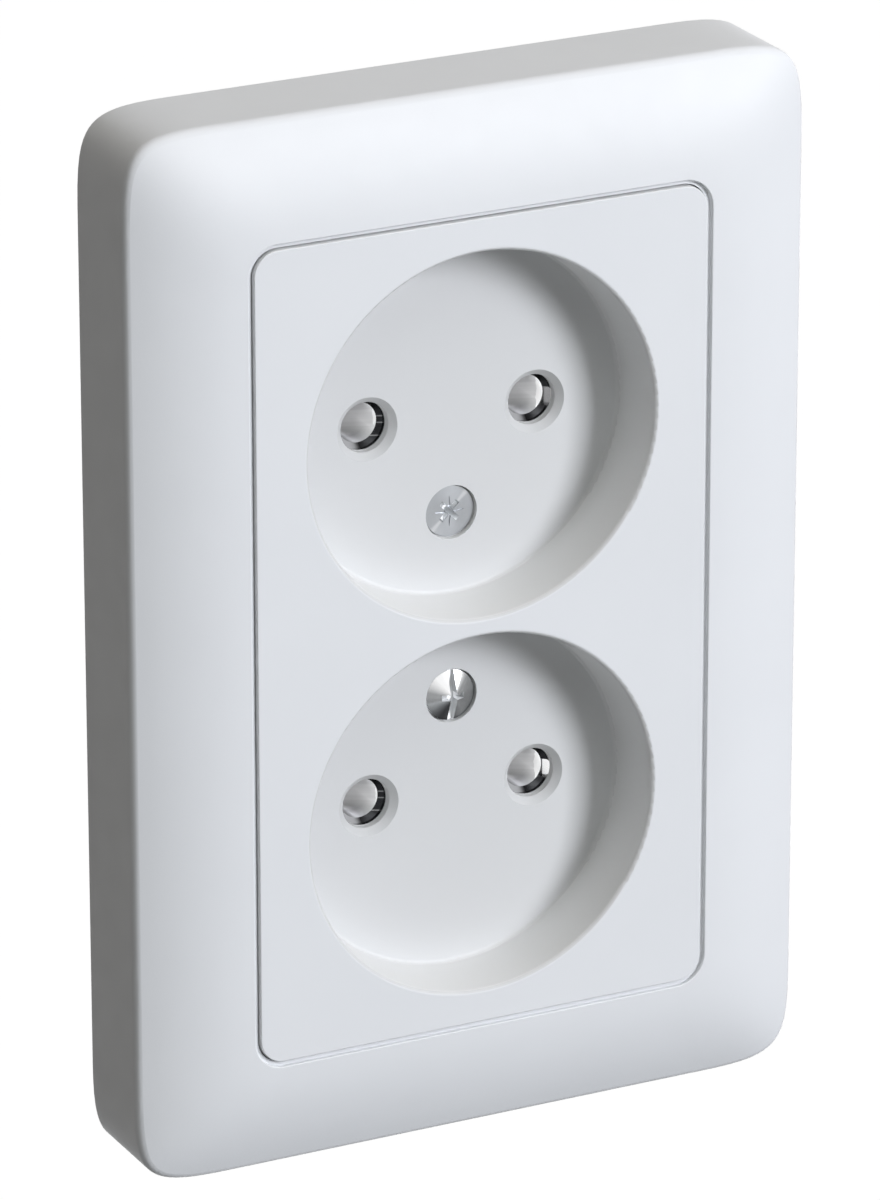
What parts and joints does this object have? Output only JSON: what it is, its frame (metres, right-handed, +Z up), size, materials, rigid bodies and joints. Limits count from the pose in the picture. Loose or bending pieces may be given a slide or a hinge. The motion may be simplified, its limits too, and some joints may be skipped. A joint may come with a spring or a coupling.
{
  "type": "wall power socket",
  "caption": "Flush wall power socket: a tall rounded frame round a plate with round recesses for two-pin plugs, on a base with contacts, a strap and spreader claws.",
  "frame": {"origin": "middle of the wall plane, between the strap's box screw slots", "axes": "seen from the room, +X right and +Z up; +Y runs into the wall, so the front faces -Y"},
  "size_m": [0.0762, 0.0347, 0.1128],
  "materials": {
    "white_plastic": "satin white moulding",
    "base_plastic": "matt light grey moulding",
    "plated_contact": "nickel plated brass",
    "brass": "rolled brass",
    "spring_steel": "bright spring steel",
    "zinc_steel": "zinc plated steel"
  },
  "bodies": {
    "outlet": {"centre_plate": "white_plastic", "cover_screw_inserts": "brass", "left_rail": "brass", "lower_cover_screw": "zinc_steel", "lower_left_sleeve": "plated_contact", "lower_left_spring_ring": "spring_steel", "lower_left_terminal": "brass", "lower_right_sleeve": "plated_contact", "lower_right_spring_ring": "spring_steel", "lower_right_terminal": "brass", "mounting_strap": "zinc_steel", "rear_cover": "base_plastic", "rear_cover_screws": "zinc_steel", "right_rail": "brass", "socket_base": "base_plastic", "strap_rivets": "zinc_steel", "surround_frame": "white_plastic", "terminal_screws": "zinc_steel", "upper_cover_screw": "zinc_steel", "upper_left_sleeve": "plated_contact", "upper_left_spring_ring": "spring_steel", "upper_left_terminal": "brass", "upper_right_sleeve": "plated_contact", "upper_right_spring_ring": "spring_steel", "upper_right_terminal": "brass"},
    "left_claw_screw": {"left_claw_screw": "zinc_steel"},
    "left_claw_nut": {"left_claw_nut": "zinc_steel"},
    "left_claw": {"left_claw": "zinc_steel"},
    "right_claw_screw": {"right_claw_screw": "zinc_steel"},
    "right_claw_nut": {"right_claw_nut": "zinc_steel"},
    "right_claw": {"right_claw": "zinc_steel"}
  },
  "joints": [
    {"name": "left_claw_screw_turn", "type": "hinge", "parent": "outlet", "child": "left_claw_screw", "pos_m": [-0.0243, 0, 0], "axis": [0, 1, 0], "range_deg": [0, 3742]},
    {"name": "left_claw_nut_travel", "type": "slide", "parent": "outlet", "child": "left_claw_nut", "axis": [0, -1, 0], "range_m": [0, 0.0052]},
    {"name": "left_claw_spread", "type": "slide", "parent": "outlet", "child": "left_claw", "axis": [-0.5, -0.866, 0], "range_m": [0, 0.006]},
    {"name": "right_claw_screw_turn", "type": "hinge", "parent": "outlet", "child": "right_claw_screw", "pos_m": [0.0243, 0, 0], "axis": [0, 1, 0], "range_deg": [0, 3742]},
    {"name": "right_claw_nut_travel", "type": "slide", "parent": "outlet", "child": "right_claw_nut", "axis": [0, -1, 0], "range_m": [0, 0.0052]},
    {"name": "right_claw_spread", "type": "slide", "parent": "outlet", "child": "right_claw", "axis": [0.5, -0.866, 0], "range_m": [0, 0.006]}
  ],
  "couplings": [
    {"joint": "left_claw_nut_travel", "follows": "left_claw_spread", "ratio": 0.86603},
    {"joint": "left_claw_screw_turn", "follows": "left_claw_spread", "rad_per_m": 10883},
    {"joint": "right_claw_nut_travel", "follows": "right_claw_spread", "ratio": 0.86603},
    {"joint": "right_claw_screw_turn", "follows": "right_claw_spread", "rad_per_m": 10883}
  ]
}
